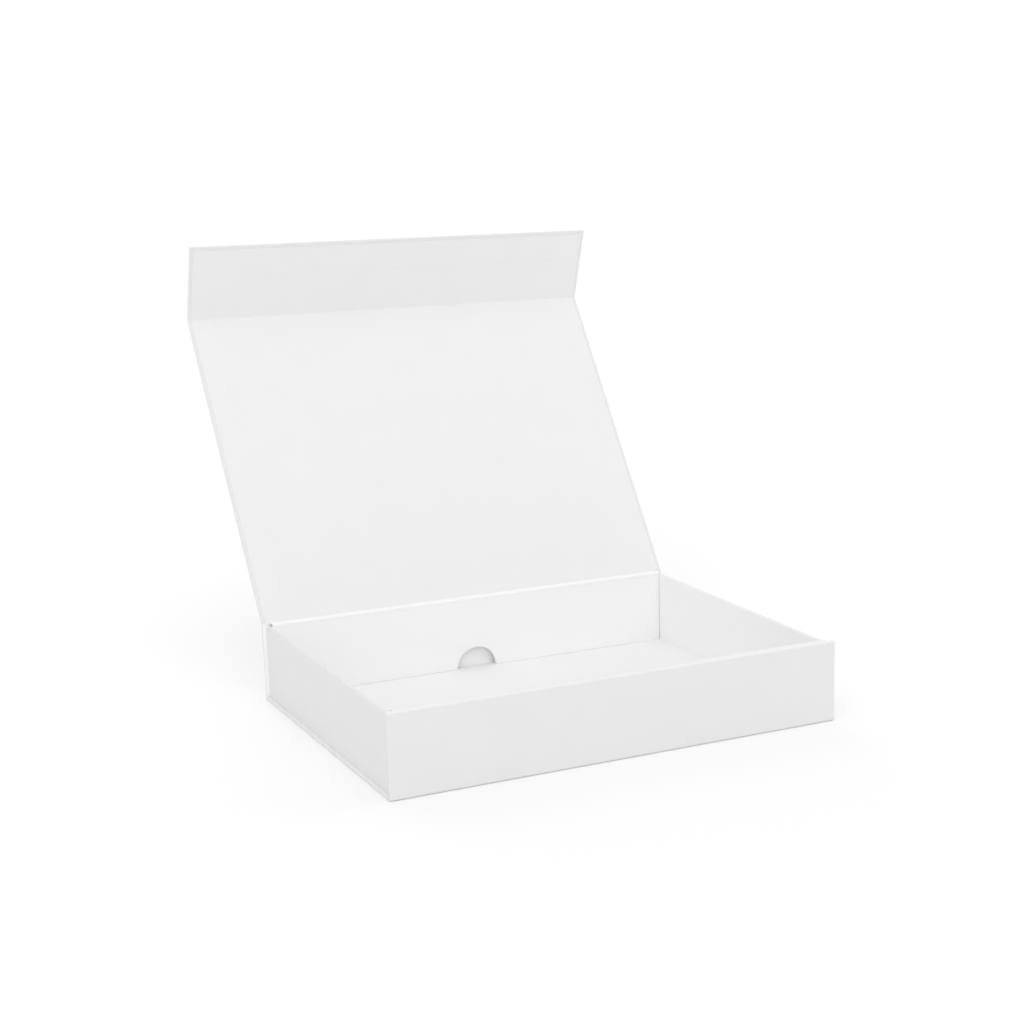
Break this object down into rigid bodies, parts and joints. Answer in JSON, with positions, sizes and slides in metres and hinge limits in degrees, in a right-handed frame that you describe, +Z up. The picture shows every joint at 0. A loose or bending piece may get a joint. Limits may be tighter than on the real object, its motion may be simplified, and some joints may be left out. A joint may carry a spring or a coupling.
{
  "type": "magnetic gift box",
  "caption": "Shallow rigid gift box with a hinged lid, a magnetic front flap and a lifting inner locking flap, made of paper-wrapped board.",
  "frame": {"origin": "centre of the base's underside, the plane the box stands on", "axes": "+X along the width to the right, +Y to the back where the lid is hinged, +Z up"},
  "size_m": [0.31, 0.3711, 0.3002],
  "materials": {
    "wrap_paper": "matt coated white paper",
    "lining_paper": "uncoated smooth white paper",
    "grey_board": "raw recycled grey board",
    "adhesive_tape": "double-sided tissue tape",
    "magnet": "nickel-plated disc",
    "steel_disc": "bare steel disc"
  },
  "bodies": {
    "tray": {"base_board": "grey_board", "base_wrap": "wrap_paper", "base_lining": "lining_paper", "spine_board": "grey_board", "spine_wrap": "wrap_paper", "spine_lining": "lining_paper", "front_board": "grey_board", "front_wrap": "wrap_paper", "inner_front_board": "grey_board", "catch_discs": "steel_disc", "left_wall_board": "grey_board", "right_wall_board": "grey_board", "left_wall_wrap": "wrap_paper", "right_wall_wrap": "wrap_paper", "left_front_tab": "grey_board", "right_front_tab": "grey_board", "left_rear_tab": "grey_board", "right_rear_tab": "grey_board", "front_tab_tapes": "adhesive_tape", "rear_tab_tapes": "adhesive_tape", "locking_flap_fold_paper": "lining_paper", "lid_fold_papers": "wrap_paper"},
    "lid": {"lid_board": "grey_board", "lid_wrap": "wrap_paper", "lid_lining": "lining_paper", "flap_fold_papers": "wrap_paper"},
    "front_flap": {"flap_board": "grey_board", "flap_wrap": "wrap_paper", "flap_lining": "lining_paper", "flap_magnets": "magnet"},
    "locking_flap": {"locking_flap_board": "grey_board", "locking_flap_wrap": "wrap_paper", "locking_flap_lining": "lining_paper"}
  },
  "joints": [
    {"name": "lid_hinge", "type": "hinge", "parent": "tray", "child": "lid", "pos_m": [0, 0.1168, 0.0553], "axis": [-1, 0, 0], "range_deg": [-125.25, 54.75], "deforming": ["lid_fold_papers"]},
    {"name": "front_flap_hinge", "type": "hinge", "parent": "lid", "child": "front_flap", "pos_m": [0, 0.25353, 0.24704], "axis": [1, 0, 0], "range_deg": [-54.3, 35.7], "deforming": ["flap_fold_papers"]},
    {"name": "locking_flap_hinge", "type": "hinge", "parent": "tray", "child": "locking_flap", "pos_m": [0, 0.1093, 0.0534], "axis": [-1, 0, 0], "range_deg": [0, 85], "deforming": ["locking_flap_fold_paper"]}
  ]
}
